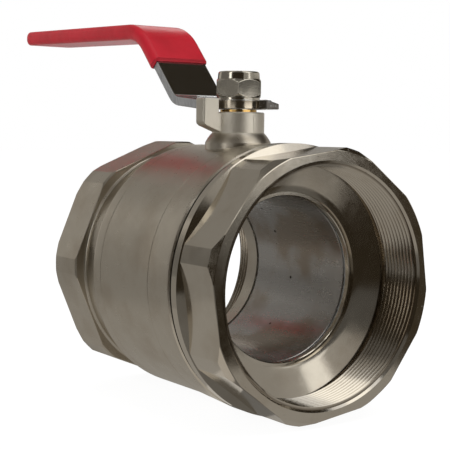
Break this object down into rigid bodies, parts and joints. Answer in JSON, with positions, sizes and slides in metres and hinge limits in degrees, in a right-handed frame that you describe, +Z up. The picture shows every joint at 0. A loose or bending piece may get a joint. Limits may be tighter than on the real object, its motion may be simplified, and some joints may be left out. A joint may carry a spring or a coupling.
{
  "type": "ball valve",
  "caption": "Quarter-turn ball valve with octagonal threaded ends, a full ball inside, a stem neck with a stop lug and a cranked lever with a dipped grip.",
  "frame": {"origin": "centre of the ball, where the flow axis meets the stem axis", "axes": "+X along the flow towards the end cap, +Z up the stem; the lever points to -X when the valve is open"},
  "size_m": [0.2915, 0.1298, 0.1975],
  "materials": {
    "nickel_body": "satin nickel plate over forged brass",
    "nickel_cap": "satin nickel plate over turned brass",
    "seal_ptfe": "waxy fluoroplastic",
    "ball_chrome": "hard chrome, polished",
    "seat_ptfe": "waxy fluoroplastic",
    "stem_nickel": "nickel plate",
    "oring_rubber": "moulded rubber",
    "gland_brass": "bare turned brass",
    "lever_zinc": "bright zinc plate",
    "sleeve_red": "glossy dipped vinyl",
    "washer_zinc": "zinc plate",
    "nut_nickel": "bright nickel plate",
    "insert_nylon": "nylon"
  },
  "bodies": {
    "housing": {"body": "nickel_body", "end_cap": "nickel_cap", "joint_seal": "seal_ptfe", "front_seat": "seat_ptfe", "rear_seat": "seat_ptfe", "thrust_washer": "seat_ptfe", "lower_packing": "seat_ptfe", "upper_packing": "seat_ptfe", "gland": "gland_brass"},
    "rotor": {"ball": "ball_chrome", "stem": "stem_nickel", "lower_oring": "oring_rubber", "upper_oring": "oring_rubber", "lever": "lever_zinc", "lever_sleeve": "sleeve_red", "lever_washer": "washer_zinc", "lever_nut": "nut_nickel", "nut_insert": "insert_nylon"}
  },
  "joints": [
    {"name": "quarter_turn", "type": "hinge", "parent": "housing", "child": "rotor", "pos_m": [0, 0, 0.06], "axis": [0, 0, -1], "range_deg": [0, 90]}
  ]
}
